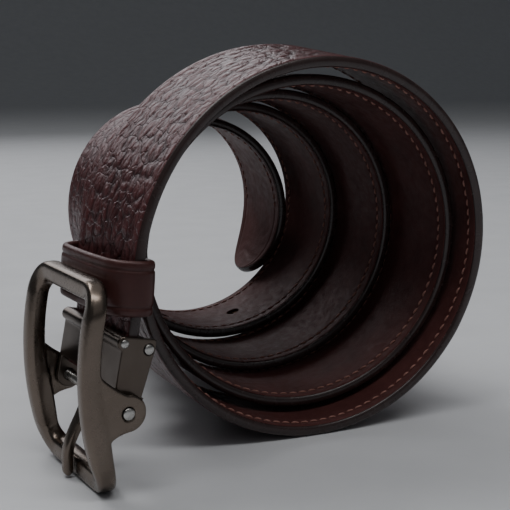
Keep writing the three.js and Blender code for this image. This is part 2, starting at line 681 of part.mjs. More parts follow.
function prongGeometry() {
  const eye = FRAME_PIN_RADIUS + PIN_CLEARANCE + PRONG_EYE_WALL;
  const spine = new THREE.CatmullRomCurve3([
    new THREE.Vector3(eye * 0.45, 0, -1),
    new THREE.Vector3(eye * 0.45 + PRONG_KNEE, 0, -FRAME_BELOW_PIN * 0.25),
    new THREE.Vector3(PRONG_INNER + PRONG_THICKNESS * 0.35, 0, -FRAME_BELOW_PIN * 0.62),
    new THREE.Vector3(PRONG_INNER + PRONG_THICKNESS / 2, 0, -FRAME_BELOW_PIN + PRONG_SHORT_OF_BAR),
  ]);
  const steps = 10;
  const rings = [];
  for (let i = 0; i <= steps; i += 1) {
    const share = i / steps;
    const p = spine.getPoint(share);
    const t = spine.getTangent(share);
    const wide = THREE.MathUtils.lerp(PRONG_WIDTH, PRONG_TIP_WIDTH, share) / 2;
    const thick = PRONG_THICKNESS / 2 * (share > 0.95 ? 0.6 : 1);
    const out = new THREE.Vector3(-t.z, 0, t.x).multiplyScalar(thick);
    const ring = [
      [-1, 0.45], [-0.55, 1], [0.55, 1], [1, 0.45],
      [1, -0.6], [0.7, -1], [-0.7, -1], [-1, -0.6],
    ];
    rings.push(ring.map(([side, lift]) => new THREE.Vector3(
      p.x + out.x * lift,
      side * wide,
      p.z + out.z * lift,
    )));
  }
  let prong = solid(skin(rings));
  prong = prong.add(solid(pin(eye, -PRONG_WIDTH / 2, PRONG_WIDTH / 2, new THREE.Vector2())));
  const bore = pin(FRAME_PIN_RADIUS + PIN_CLEARANCE, -PRONG_WIDTH, PRONG_WIDTH, new THREE.Vector2());
  return toGeometry(prong.subtract(solid(bore)));
}

function addBuckle() {
  const seat = seatOnStrap(0);
  addClamp(seat);
  const hinge = new THREE.Group();
  hinge.position.set(FRAME_PIN_AT.x, 0, FRAME_PIN_AT.y);
  hinge.rotation.y = THREE.MathUtils.degToRad(LEAD_PITCH - FRAME_HANG);
  addPiece(hinge, 'buckle_frame', frameGeometry(), 'gunmetal');
  addPiece(hinge, 'prong', prongGeometry(), 'gunmetal');
  seat.add(hinge);
  belt.add(seat);
}

addStrap();
addKeeper();
addBuckle();

// The origin is the middle of the bottom of the whole belt's box.
belt.updateMatrixWorld(true);
const bounds = new THREE.Box3().setFromObject(belt, true);
belt.position.set(
  -(bounds.min.x + bounds.max.x) / 2,
  -(bounds.min.y + bounds.max.y) / 2,
  -bounds.min.z,
);
belt.updateMatrixWorld(true);

export default belt;
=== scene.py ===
# A gentleman's dress belt, rolled into a coil and stood on its edge like a wheel.
# The strap is grained leather over a stiff core with a smooth lining, stitched and edge-painted.
# A leather keeper and a clip-on clamp buckle with a bowed frame and a prong hang at its left.
import math

import bmesh
import bpy
import numpy as np
from mathutils import Matrix, Vector


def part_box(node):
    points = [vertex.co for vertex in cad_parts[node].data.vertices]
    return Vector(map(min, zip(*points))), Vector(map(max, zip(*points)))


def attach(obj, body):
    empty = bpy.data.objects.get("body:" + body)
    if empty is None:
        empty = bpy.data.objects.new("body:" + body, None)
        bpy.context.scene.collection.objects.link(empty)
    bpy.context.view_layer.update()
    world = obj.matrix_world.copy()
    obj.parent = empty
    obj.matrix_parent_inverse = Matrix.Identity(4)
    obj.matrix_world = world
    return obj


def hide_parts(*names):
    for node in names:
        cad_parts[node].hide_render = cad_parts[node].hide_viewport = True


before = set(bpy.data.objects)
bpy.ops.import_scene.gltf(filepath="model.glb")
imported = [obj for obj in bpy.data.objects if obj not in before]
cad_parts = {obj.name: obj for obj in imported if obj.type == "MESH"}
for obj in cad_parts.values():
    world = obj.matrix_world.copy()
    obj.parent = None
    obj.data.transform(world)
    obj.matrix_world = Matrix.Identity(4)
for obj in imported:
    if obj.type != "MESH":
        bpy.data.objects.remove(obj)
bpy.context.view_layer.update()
mm = 0.001


# ---- Camera ----
# It stands low in front of the coil, to the left of its axis, and looks slightly down
# past the buckle into the open turns.
camera = bpy.data.objects.new("camera", bpy.data.cameras.new("camera"))
bpy.context.scene.collection.objects.link(camera)
bpy.context.scene.camera = camera
camera.data.sensor_width = 36
camera.data.lens = 75.4
camera.data.clip_start = 0.01
camera.location = (-0.1235, -0.2757, 0.0937)
camera.rotation_euler = (math.radians(90 - 9.76), 0, math.radians(-26.45))


# ---- Floor and light ----
# A pale paper sweep that lies flat under the belt and curves up far behind it, with a wide soft
# light overhead, smaller ones behind it and low at the back, a strip above the front, and a fill.
def shader(name, roughness=0.5, metallic=0.0, specular=0.5):
    material = bpy.data.materials.new(name)
    material.use_nodes = True
    tree = material.node_tree
    principled = tree.nodes["Principled BSDF"]
    principled.inputs["Roughness"].default_value = roughness
    principled.inputs["Metallic"].default_value = metallic
    principled.inputs["Specular IOR Level"].default_value = specular
    return material, tree, principled


def node(tree, kind, links=(), **values):
    """A shader node with its values set, and links as (input name, output socket) pairs."""
    made = tree.nodes.new("ShaderNode" + kind)
    for key, value in values.items():
        if hasattr(made, key):
            setattr(made, key, value)
        else:
            made.inputs[key.replace("_", " ").title()].default_value = value
    for name, output in links:
        tree.links.new(output, made.inputs[name])
    return made


def noise(tree, scale, detail=4.0, roughness=0.5):
    place = node(tree, "TexCoord")
    return node(tree, "TexNoise", [("Vector", place.outputs["Object"])],
                scale=scale, detail=detail, roughness=roughness).outputs["Fac"]


def ramp(tree, value, stops):
    """A colour ramp from (position, colour) pairs; a plain number stands for a grey."""
    made = node(tree, "ValToRGB", [("Fac", value)])
    elements = made.color_ramp.elements
    while len(elements) < len(stops):
        elements.new(0.5)
    for element, (position, colour) in zip(elements, stops):
        element.position = position
        grey = isinstance(colour, (int, float))
        element.color = (colour, colour, colour, 1) if grey else (*colour, 1)
    return made.outputs["Color"]


def dye(tree, principled, value, stops):
    """Colours a material by a ramp over value."""
    tree.links.new(ramp(tree, value, stops), principled.inputs["Base Color"])


def polish(tree, principled, value, stops):
    """Makes a material glossier and duller in places, by a ramp over value."""
    tree.links.new(ramp(tree, value, stops), principled.inputs["Roughness"])


def bump(tree, principled, height, distance, strength=1.0, under=None):
    links = [("Height", height)] + ([("Normal", under)] if under else [])
    made = node(tree, "Bump", links, strength=strength, distance=distance)
    tree.links.new(made.outputs["Normal"], principled.inputs["Normal"])
    return made.outputs["Normal"]


def mesh_object(name, points, faces, smooth=True):
    mesh = bpy.data.meshes.new(name)
    mesh.from_pydata([tuple(p) for p in points], [], faces)
    mesh.validate()
    mesh.polygons.foreach_set("use_smooth", [smooth] * len(mesh.polygons))
    made = bpy.data.objects.new(name, mesh)
    bpy.context.scene.collection.objects.link(made)
    return made


sweep_half = 8.0
sweep_rise = 1.6
sweep_back = 2.6
sweep_line = [(-6.0, 0.0)]
for i in range(25):
    turn = math.radians(90 * i / 24)
    sweep_line.append((sweep_back + sweep_rise * math.sin(turn), sweep_rise * (1 - math.cos(turn))))
sweep_line.append((sweep_back + sweep_rise, 7.0))
sweep_points = [(x, y, z) for y, z in sweep_line for x in (-sweep_half, sweep_half)]
sweep_faces = [(2 * i, 2 * i + 1, 2 * i + 3, 2 * i + 2) for i in range(len(sweep_line) - 1)]
sweep = mesh_object("paper_sweep", sweep_points, sweep_faces)
paper, paper_tree, paper_shader = shader("pale_paper", roughness=0.7, specular=0.3)
dye(paper_tree, paper_shader, noise(paper_tree, 40), [
    (0.3, (0.60, 0.61, 0.63)),
    (0.7, (0.64, 0.65, 0.67)),
])
sweep.data.materials.append(paper)


def soft_light(name, place, target, width, height, watts, colour=(1, 1, 1)):
    lamp = bpy.data.lights.new(name, "AREA")
    lamp.shape = "RECTANGLE"
    lamp.size = width
    lamp.size_y = height
    lamp.energy = watts
    lamp.color = colour
    made = bpy.data.objects.new(name, lamp)
    made.location = place
    made.rotation_euler = (Vector(target) - Vector(place)).to_track_quat("-Z", "Y").to_euler()
    bpy.context.scene.collection.objects.link(made)


soft_light("top_softbox", (0.10, 0.25, 1.60), (0, 0, 0), 1.6, 1.6, 2.6)
soft_light("upper_softbox", (-0.28, 0.50, 1.12), (0, 0, 0.06), 0.60, 0.42, 4.6)
soft_light("back_softbox", (-0.05, 1.00, 0.60), (0, 0, 0.06), 1.10, 0.36, 2.8, (0.97, 0.97, 1.0))
soft_light("front_strip", (-0.14, -0.36, 1.00), (0, 0, 0.05), 1.20, 0.22, 4.6)
soft_light("front_fill", (0.30, -1.0, 0.75), (0, 0, 0.05), 0.9, 0.9, 0.5)
world = bpy.data.worlds.new("studio")
world.use_nodes = True
world.node_tree.nodes["Background"].inputs["Color"].default_value = (0.75, 0.78, 0.82, 1)
world.node_tree.nodes["Background"].inputs["Strength"].default_value = 0.09
bpy.context.scene.world = world


# ---- Outer leather ----
# The strap's face: one long piece of embossed hide, dyed dark oxblood, with a crumpled grain
# of small raised scales and a smooth border pressed along both edges, punched with five holes.
# Its colour is darkened in the grooves between the scales as painted shade.
strap_width = 30 * mm
outer_thickness = 1.3 * mm
core_thickness = 0.5 * mm
lining_thickness = 0.8 * mm
glue_line = 0.1 * mm
strap_thickness = outer_thickness + core_thickness + lining_thickness + 2 * glue_line
tip_length = 26 * mm
hole_count = 5
hole_pitch = 25 * mm
first_hole_from_tip = 95 * mm
hole_radius = 2 * mm

# The coil: its radius, and how much more the outermost turn has at 9, 12, 3 and 6 o'clock, then how
# much looser than touching each turn lies inside the one before. After them come how far back
# each half turn sits, and how far the back edge flares out at each quarter turn.
coil_radius = 48 * mm
outer_turn_swell = [7.3, 1.3, 0.9, 0]
turn_slack = [
    [4.1, 1.5, 0.9, 1.7],
    [3.6, 1.2, 0.8, 0.7],
    [0.8, 1.1, 0.9, 0.7],
    [0.6, 2.6, 3.6, 0.7],
]
telescope = [-0.8333, -0.4833, -0.2833, -0.2, 0.2667, 0.65, 1.05, 1.4667, 2.0667, 2.2, 2.2667]
set_back = [share * strap_width for share in telescope]
flare = [3.66, 3.4, 2.61, 0, 0, 0, 0, 0, 0, 0, 0, 0, 2.09, 2.09, 0, 0, 0, 4.18, 1.57, 0]
coil_turns = 4.62
steps_per_turn = 48
lead_length = 25 * mm
lead_bend_length = 12 * mm
lead_pitch = 11
lead_flare = 2.61
lead_step = 2.5 * mm


def through(values, x):
    """A smooth curve through evenly spaced values, read at position x."""
    last = len(values) - 1
    i = min(max(math.floor(x), 0), last - 1)
    f = x - i
    b, c = values[i], values[i + 1]
    a = values[i - 1] if i > 0 else 2 * b - c
    d = values[i + 2] if i + 2 <= last else 2 * c - b
    return b + 0.5 * f * (c - a + f * (2 * a - 5 * b + 4 * c - d + f * (3 * (b - c) + d - a)))


def smoothstep(low, high, x):
    t = np.clip((x - low) / (high - low), 0, 1)
    return t * t * (3 - 2 * t)


coil_radii = [coil_radius + swell * mm for swell in outer_turn_swell]
for slacks in turn_slack:
    for slack in slacks:
        coil_radii.append(coil_radii[-4] - strap_thickness - slack * mm)


def coil_point(turn):
    radius = through(coil_radii, turn * 4)
    angle = math.pi * (1 - 2 * turn)
    return np.array([radius * math.cos(angle), radius * math.sin(angle)])


def direction(line, looped=False):
    """Unit vectors along a line of points."""
    way = np.roll(line, -1, 0) - np.roll(line, 1, 0) if looped else np.gradient(line, axis=0)
    return way / np.linalg.norm(way, axis=1)[:, None]


def travelled(line):
    """How far along a line of points each one lies."""
    return np.concatenate([[0], np.cumsum(np.linalg.norm(np.diff(line, axis=0), axis=1))])


def strap_stations():
    """Rows of x, z, front edge and lean along the strap, from the butt to the tip."""
    start = coil_point(0)
    tangent = coil_point(0.002) - start
    start_angle = math.atan2(tangent[0], tangent[1])
    back_per_metre = (set_back[1] - set_back[0]) / (math.pi * coil_radius)
    lead = []
    point = start.copy()
    for i in range(1, round(lead_length / lead_step) + 1):
        bent = float(smoothstep(0, lead_bend_length, (i - 0.5) * lead_step))
        angle = start_angle + (math.radians(lead_pitch) - start_angle) * bent
        point = point - lead_step * np.array([math.sin(angle), math.cos(angle)])
        front = set_back[0] - back_per_metre * lead_bend_length * (1 - (1 - bent) ** 2) / 2
        stands_out = (flare[0] + (lead_flare - flare[0]) * bent) * mm
        lead.insert(0, [*point, front, math.asin(stands_out / strap_width)])
    tip_turns = tip_length / (2 * math.pi * through(coil_radii, coil_turns * 4))
    body_turns = coil_turns - tip_turns
    body_steps = math.ceil(body_turns * steps_per_turn)
    turns = [body_turns * i / body_steps for i in range(body_steps)]
    turns += [body_turns + tip_turns * math.sin(i / 10 * math.pi / 2) for i in range(11)]
    for turn in turns:
        stands_out = through(flare, turn * 4) * mm
        tilt = math.asin(stands_out / strap_width)
        lead.append([*coil_point(turn), through(set_back, turn * 2), tilt])
    return np.array(lead)


def smooth_rows(rows, splits):
    """The rows with splits - 1 more between each two, on a smooth curve through them."""
    padded = np.vstack([2 * rows[0] - rows[1], rows, 2 * rows[-1] - rows[-2]])
    a, b, c, d = padded[:-3], padded[1:-2], padded[2:-1], padded[3:]
    made = []
    for k in range(splits):
        f = k / splits
        made.append(b + 0.5 * f * (c - a + f * (2 * a - 5 * b + 4 * c - d + f * (3 * (b - c) + d - a))))
    return np.vstack([np.stack(made, 1).reshape(-1, rows.shape[1]), rows[-1]])


coarse = strap_stations()
path = smooth_rows(coarse, 6)
path_along = direction(path[:, :2])
path_length = travelled(path[:, :2])
strap_length = path_length[-1]


def on_strap(along, across, depth):
    """Points of the strap: along from the butt, across from the front edge, depth from its face."""
    along, across, depth = np.broadcast_arrays(along, across, depth)
    past = along - np.clip(along, 0, strap_length)
    x, z, front, tilt = (np.interp(along, path_length, path[:, k]) for k in range(4))
    way_x, way_z = (np.interp(along, path_length, path_along[:, k]) for k in range(2))
    outward = across * np.sin(tilt) - depth * np.cos(tilt)
    back = across * np.cos(tilt) + depth * np.sin(tilt)
    points = [x + way_x * past - way_z * outward, front + back, z + way_z * past + way_x * outward]
    return np.stack(points, -1)


def half_width(along):
    """Half of the strap's width, which narrows to a round tip."""
    reach = np.clip(1 - (strap_length - along) / tip_length, 0, 0.9997)
    return strap_width / 2 * np.sqrt(1 - reach ** 2.6)


# The solid that the outer leather replaces says where the coil's centre lies.
coarse_way = direction(coarse[:, :2])
top_station = coarse[:, 1] + np.maximum(coarse_way[:, 0] * np.sin(coarse[:, 3]) * strap_width, 0)
right_station = coarse[:, 0] + np.maximum(-coarse_way[:, 1] * np.sin(coarse[:, 3]) * strap_width, 0)
outer_low, outer_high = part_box("outer_leather")
coil_centre = np.array([
    outer_high.x - right_station.max(),
    outer_low.y - coarse[:, 2].min(),
    outer_high.z - top_station.max(),
])


def skin(name, rings, looped=False):
    """A closed piece over rings of points, shaped (rings, points, 3); a loop joins its ends."""
    rings = np.asarray(rings)
    count, size = rings.shape[:2]
    spans = count if looped else count - 1
    i = np.arange(spans)[:, None] * size
    n = ((np.arange(spans) + 1) % count)[:, None] * size
    j = np.arange(size)[None, :]
    k = (j + 1) % size
    faces = np.stack([i + j, n + j, n + k, i + k], -1).reshape(-1, 4).tolist()
    if not looped:
        faces.append(list(range(size)))
        faces.append([(count - 1) * size + m for m in reversed(range(size))])
    made = mesh_object(name, rings.reshape(-1, 3), faces)
    face_out(made)
    return made


def face_out(made):
    """Turns the faces round where a closed piece came out inside out."""
    work = bmesh.new()
    work.from_mesh(made.data)
    if work.calc_volume(signed=True) < 0:
        bmesh.ops.reverse_faces(work, faces=work.faces)
    work.to_mesh(made.data)
    work.free()


def value_noise(u, v, seed):
    """Smooth random waves from -1 to 1, one unit apart."""
    table = np.random.default_rng(seed).uniform(-1, 1, (64, 2048))
    i, j = np.floor(u).astype(int), np.floor(v).astype(int)
    a, b = u - i, v - j
    a, b = a * a * (3 - 2 * a), b * b * (3 - 2 * b)
    near = table[j % 64, i % 2048] * (1 - a) + table[j % 64, (i + 1) % 2048] * a
    far = table[(j + 1) % 64, i % 2048] * (1 - a) + table[(j + 1) % 64, (i + 1) % 2048] * a
    return near * (1 - b) + far * b


def scales(u, v, seed):
    """Distance to the nearest and to the next cell's middle, for cells one unit apart."""
    table = np.random.default_rng(seed).uniform(0.08, 0.92, (64, 2048, 2))
    i, j = np.floor(u).astype(int), np.floor(v).astype(int)
    nearest = np.full(u.shape, 9.0)
    second = np.full(u.shape, 9.0)
    for p in (-1, 0, 1):
        for q in (-1, 0, 1):
            jitter = table[(j + q) % 64, (i + p) % 2048]
            gap = np.hypot(i + p + jitter[..., 0] - u, j + q + jitter[..., 1] - v)
            second = np.minimum(second, np.maximum(nearest, gap))
            nearest = np.minimum(nearest, gap)
    return nearest, second


grain_seed = 11
scale_long = 5.2 * mm
scale_wide = 4.0 * mm
grain_depth = 0.34 * mm
border_width = 2.9 * mm
border_crease = 0.12 * mm


def grain(along, across):
    """How deep the embossed hide lies under its crest, and how raised it is from 0 to 1."""
    u, v = along / scale_long, across / scale_wide
    warp = 0.34 * value_noise(u * 1.1, v * 1.1, grain_seed + 1)
    turn = 0.34 * value_noise(u * 1.1, v * 1.1, grain_seed + 2)
    nearest, second = scales(u + warp, v + turn, grain_seed)
    fade = 0.66 + 0.34 * value_noise(u * 0.55, v * 0.55, grain_seed + 3)
    raised = smoothstep(0.0, 0.36, second - nearest)
    swell = 1 - smoothstep(0.1, 0.85, nearest)
    low = grain_depth * fade * (0.66 * (1 - raised) + 0.34 * (1 - swell))
    edge = np.minimum(across, strap_width - across)
    inside = smoothstep(border_width - 0.5 * mm, border_width + 0.7 * mm, edge)
    crease = border_crease * np.exp(-(((edge - border_width) / (0.28 * mm)) ** 2))
    return low * inside + crease, 1 - inside + inside * raised * (0.6 + 0.4 * swell)


fine_step = 0.55 * mm
coarse_step = 1.1 * mm
fine_until = 340 * mm
body_rows = np.concatenate([
    np.arange(0, fine_until, fine_step),
    np.arange(fine_until, strap_length - tip_length, coarse_step),
])
tip_rows = strap_length - tip_length * (1 - np.sin(np.linspace(0, 1, 44) * math.pi / 2)) - 0.004 * mm
rows = np.concatenate([body_rows, tip_rows])[:, None]
edge_profile = [(0, 0.62), (0.04, 0.34), (0.16, 0.14), (0.38, 0.03)]
face_across = np.linspace(0.75 * mm, strap_width - 0.75 * mm, 53)
profile = [(a * mm, d * mm) for a, d in edge_profile]
profile += [(a, 0) for a in face_across]
profile += [(strap_width - a * mm, d * mm) for a, d in reversed(edge_profile)]
profile += [(strap_width, outer_thickness), (strap_width / 2, outer_thickness), (0, outer_thickness)]
profile = np.array(profile)
flat_across = np.broadcast_to(profile[None, :, 0], (len(rows), len(profile)))
share_of_width = half_width(rows) / (strap_width / 2)
narrowed = strap_width / 2 + (flat_across - strap_width / 2) * share_of_width
low, raised = grain(np.broadcast_to(rows, flat_across.shape), flat_across)
on_face = profile[None, :, 1] < 0.2 * mm
depth = profile[None, :, 1] + low * on_face
outer = skin("outer_hide", on_strap(rows, narrowed, depth) + coil_centre)


def mark(piece, name, kind, values):
    """Keeps a value for each point of a piece, for its material to read."""
    made = piece.data.attributes.new(name, kind, "POINT")
    key = "value" if kind == "FLOAT" else "vector"
    made.data.foreach_set(key, np.asarray(values, dtype=np.float32).ravel())


# The raised value also sets how much painted shade the hide's colour gets in the grooves.
mark(outer, "raised", "FLOAT", np.where(on_face, raised, 0.6))
along_and_across = [np.broadcast_to(rows, flat_across.shape), flat_across, np.zeros(flat_across.shape)]
mark(outer, "hide_place", "FLOAT_VECTOR", np.stack(along_and_across, -1))


def cut_away(piece, cutter):
    """Takes the cutter's shape out of a piece, and deletes the cutter."""
    cut = piece.modifiers.new("cut", "BOOLEAN")
    cut.operation = "DIFFERENCE"
    cut.solver = "EXACT"
    cut.object = cutter
    bpy.context.view_layer.objects.active = piece
    bpy.ops.object.modifier_apply(modifier="cut")
    bpy.data.objects.remove(cutter)


def punch_holes(piece):
    """Cuts the buckle holes through a layer of the strap."""
    for i in range(hole_count):
        along = strap_length - first_hole_from_tip - i * hole_pitch
        ends = on_strap(along, strap_width / 2, np.array([-2, 5]) * mm) + coil_centre
        bpy.ops.mesh.primitive_cylinder_add(vertices=32, radius=hole_radius, depth=7 * mm)
        punch = bpy.context.object
        punch.rotation_euler = Vector(ends[1] - ends[0]).to_track_quat("Z", "Y").to_euler()
        punch.location = ends.mean(0)
        bpy.context.view_layer.update()
        cut_away(piece, punch)


punch_holes(outer)
hide, hide_tree, hide_shader = shader("oxblood_hide", roughness=0.36, specular=0.42)
hide_shader.inputs["Specular Tint"].default_value = (1.0, 0.70, 0.76, 1)
hide_place = node(hide_tree, "Attribute", attribute_name="hide_place").outputs["Vector"]
hide_raised = node(hide_tree, "Attribute", attribute_name="raised").outputs["Fac"]


def pebbles(long, wide, drift):
    """Small crumpled cells pressed in the hide: 0 in the grooves between them and 1 on top."""
    sized = node(hide_tree, "VectorMath", operation="MULTIPLY")
    hide_tree.links.new(hide_place, sized.inputs[0])
    sized.inputs[1].default_value = (1 / long, 1 / wide, 1)
    wander = node(hide_tree, "TexNoise", [("Vector", sized.outputs[0])], scale=0.7, detail=3.0)
    pushed = node(hide_tree, "VectorMath", operation="MULTIPLY_ADD")
    hide_tree.links.new(wander.outputs["Color"], pushed.inputs[0])
    pushed.inputs[1].default_value = (drift, drift, 0)
    hide_tree.links.new(sized.outputs[0], pushed.inputs[2])
    cells = node(hide_tree, "TexVoronoi", [("Vector", pushed.outputs[0])],
                 voronoi_dimensions="2D", feature="DISTANCE_TO_EDGE", scale=1.0)
    return ramp(hide_tree, cells.outputs["Distance"], [(0.0, 0.0), (0.08, 0.5), (0.45, 1.0)])


def mixed(tree, share, first, second):
    """First and second mixed by share, which is a number or an output."""
    made = node(tree, "Mix", data_type="RGBA")
    for slot, value in ((0, share), (6, first), (7, second)):
        if isinstance(value, bpy.types.NodeSocket):
            tree.links.new(value, made.inputs[slot])
        else:
            made.inputs[slot].default_value = value
    return made.outputs[2]


hide_cells = pebbles(3.6 * mm, 2.7 * mm, 1.2)
hide_creases = pebbles(1.8 * mm, 1.4 * mm, 1.5)
hide_relief = mixed(hide_tree, 0.20, hide_cells, hide_creases)
hide_mottle = noise(hide_tree, 260, 6, 0.6)
# The colour runs from the oxblood dye on the scales' crowns and the smooth border down to near black in
# the grooves between them: painted shade in the grain.
hide_groove_shade = ramp(hide_tree, hide_mottle, [
    (0.3, (0.012, 0.0036, 0.0040)),
    (0.7, (0.020, 0.0062, 0.0066)),
])
hide_high = ramp(hide_tree, hide_mottle, [
    (0.3, (0.064, 0.0200, 0.0205)),
    (0.7, (0.096, 0.0315, 0.0320)),
])
unshaded_share = mixed(hide_tree, 0.45, hide_relief, hide_raised)
unshaded_share = ramp(hide_tree, unshaded_share, [(0.15, 0.0), (0.85, 1.0)])
hide_colour_and_shade = mixed(hide_tree, unshaded_share, hide_groove_shade, hide_high)
hide_tree.links.new(hide_colour_and_shade, hide_shader.inputs["Base Color"])
polish(hide_tree, hide_shader, noise(hide_tree, 420, 5, 0.6), [(0.3, 0.26), (0.7, 0.38)])
hide_pressed = bump(hide_tree, hide_shader, hide_relief, 0.30 * mm, 0.9)
bump(hide_tree, hide_shader, noise(hide_tree, 2200, 4, 0.6), 0.015 * mm, 0.5, hide_pressed)
outer.data.materials.append(hide)
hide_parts("outer_leather")
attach(outer, "strap")


# ---- Core ----
# A strip of pressed fibre board, glued between the two leathers, which keeps the strap firm.
# It shows only as a thin ring inside the buckle holes.
board, board_tree, board_shader = shader("fibre_board", roughness=0.9, specular=0.2)
dye(board_tree, board_shader, noise(board_tree, 900, 6, 0.7), [
    (0.3, (0.10, 0.055, 0.035)),
    (0.7, (0.16, 0.09, 0.06)),
])
bump(board_tree, board_shader, noise(board_tree, 3000, 4), 0.05 * mm)
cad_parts["strap_core"].data.materials.clear()
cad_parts["strap_core"].data.materials.append(board)


# ---- Lining ----
# Smooth reddish-brown calf on the strap's inside, glued down, with a shallow channel that the
# stitching lies in, and soft cross creases where the strap has been bent to the buckle.
stitch_inset = 3 * mm
channel_depth = 0.16 * mm
channel_half = 0.42 * mm
crease_depth = 0.16 * mm
crease_zone = 190 * mm
near_edge = [0.75, 1.2, 1.8, 2.3, 2.55, 2.75, 2.9, 3.0, 3.1, 3.25, 3.45, 3.8, 4.4]
lining_across = [a * mm for a in near_edge]
lining_across += list(np.linspace(5.2 * mm, strap_width - 5.2 * mm, 24))
lining_across += [strap_width - a * mm for a in reversed(near_edge)]
lining_top = strap_thickness - lining_thickness
lining_profile = [(strap_width, lining_top), (strap_width / 2, lining_top), (0, lining_top)]
lining_profile += [(a * mm, strap_thickness - d * mm) for a, d in edge_profile]
lining_profile += [(a, strap_thickness) for a in lining_across]
lining_profile += [(strap_width - a * mm, strap_thickness - d * mm) for a, d in reversed(edge_profile)]
lining_profile = np.array(lining_profile)
lining_flat = np.broadcast_to(lining_profile[None, :, 0], (len(rows), len(lining_profile)))
lining_narrowed = strap_width / 2 + (lining_flat - strap_width / 2) * share_of_width
lining_edge = np.minimum(lining_flat, strap_width - lining_flat)
lining_face = lining_profile[None, :, 1] > strap_thickness - 0.2 * mm
lining_sunk = channel_depth * np.exp(-(((lining_edge - stitch_inset) / channel_half) ** 2))
crease_sway = 0.9 * value_noise(rows / (9 * mm), lining_flat / (5 * mm), 31)
crease_wave = value_noise(rows / (2.3 * mm) + crease_sway, lining_flat / (11 * mm), 32)
crease_share = smoothstep(strap_length - crease_zone, strap_length - crease_zone + 60 * mm, rows)
crease_share = 0.25 + 0.75 * crease_share
crease_cut = smoothstep(0.25, 0.75, crease_wave) * smoothstep(3.6 * mm, 6 * mm, lining_edge)
lining_sunk = lining_sunk + crease_depth * crease_share * crease_cut
lining_depth = lining_profile[None, :, 1] - lining_sunk * lining_face
lining = skin("calf_lining", on_strap(rows, lining_narrowed, lining_depth) + coil_centre)
punch_holes(lining)
calf, calf_tree, calf_shader = shader("calf_lining", roughness=0.52, specular=0.20)
calf_shader.inputs["Specular Tint"].default_value = (1.0, 0.62, 0.60, 1)
dye(calf_tree, calf_shader, noise(calf_tree, 120, 7, 0.62), [
    (0.25, (0.054, 0.0195, 0.0180)),
    (0.5, (0.078, 0.0285, 0.0265)),
    (0.75, (0.104, 0.0385, 0.0360)),
])
polish(calf_tree, calf_shader, noise(calf_tree, 500, 4), [(0.3, 0.44), (0.7, 0.62)])
calf_grain = bump(calf_tree, calf_shader, noise(calf_tree, 1100, 5, 0.6), 0.10 * mm, 0.8)
bump(calf_tree, calf_shader, noise(calf_tree, 4200, 3, 0.6), 0.05 * mm, 0.6, calf_grain)
lining.data.materials.append(calf)
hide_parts("lining")
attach(lining, "strap")


# ---- Edge paint ----
# Several coats of flexible edge paint, rubbed down and polished into one round bead that closes
# the three layers all the way along both edges and round the tip.
bead_proud = 0.34 * mm
bead_fuller = 0.20 * mm
bead_half = strap_thickness / 2 - 0.16 * mm
bead_back = 0.12 * mm
straight = np.arange(0, strap_length - tip_length, 1.0 * mm)
round_tip = strap_length - tip_length * (1 - np.sin(np.linspace(0, 1, 70) * math.pi / 2))
edge_along = np.concatenate([straight, round_tip])
edge_half = half_width(edge_along)
outline = np.concatenate([
    np.stack([edge_along, strap_width / 2 - edge_half], -1),
    np.stack([edge_along, strap_width / 2 + edge_half], -1)[::-1],
])
outline_way = direction(outline)
outline_out = np.stack([outline_way[:, 1], -outline_way[:, 0]], -1)
bead_turns = np.linspace(-90, 90, 11) * math.pi / 180
bead_section = [(bead_proud * math.cos(a), bead_half * math.sin(a)) for a in bead_turns]
bead_section += [(-bead_back, bead_half), (-bead_back, -bead_half)]
bead_section = np.array(bead_section)
bead_wave = 0.04 * mm * value_noise(np.arange(len(outline)) / 7.0, np.zeros(len(outline)), 41)
bead_reach = bead_section[None, :, 0] + bead_wave[:, None] * (bead_section[None, :, 0] > 0.1 * mm)
past_keeper = smoothstep(32 * mm, 42 * mm, outline[:, None, 0])
bead_reach += bead_fuller * past_keeper * np.clip(bead_section[None, :, 0] / bead_proud, 0, 1)
bead_along = outline[:, None, 0] + outline_out[:, None, 0] * bead_reach
bead_across = outline[:, None, 1] + outline_out[:, None, 1] * bead_reach
bead_depth = strap_thickness / 2 + bead_section[None, :, 1]
bead = skin("edge_paint", on_strap(bead_along, bead_across, bead_depth) + coil_centre)
paint, paint_tree, paint_shader = shader("edge_paint", roughness=0.32, specular=0.55)
dye(paint_tree, paint_shader, noise(paint_tree, 180, 5), [
    (0.3, (0.026, 0.0145, 0.0140)),
    (0.7, (0.040, 0.0230, 0.0215)),
])
polish(paint_tree, paint_shader, noise(paint_tree, 300, 3), [(0.3, 0.22), (0.7, 0.30)])
bump(paint_tree, paint_shader, noise(paint_tree, 300, 2), 0.02 * mm, 0.4)
bead.data.materials.append(paint)
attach(bead, "strap")


# ---- Stitching ----
# Two rows of lock stitch in waxed red-tan polyester thread, three millimetres from the edges,
# sunk in the lining's channels. Each stitch is its own short slanted bar.
stitch_pitch = 2.9 * mm
stitch_length = 2.15 * mm
thread_radius = 0.27 * mm
stitch_slant = math.radians(11)
stitch_start = 36.1 * mm
stitch_sides = 8
stitch_steps = 7
thread, thread_tree, thread_shader = shader("tan_thread", roughness=0.6, specular=0.4)
dye(thread_tree, thread_shader, noise(thread_tree, 1500, 4), [
    (0.3, (0.25, 0.110, 0.085)),
    (0.7, (0.42, 0.215, 0.175)),
])
thread_fibres = noise(thread_tree, 5200, 3)
polish(thread_tree, thread_shader, thread_fibres, [(0.2, 0.5), (0.8, 0.75)])
bump(thread_tree, thread_shader, thread_fibres, 0.06 * mm)


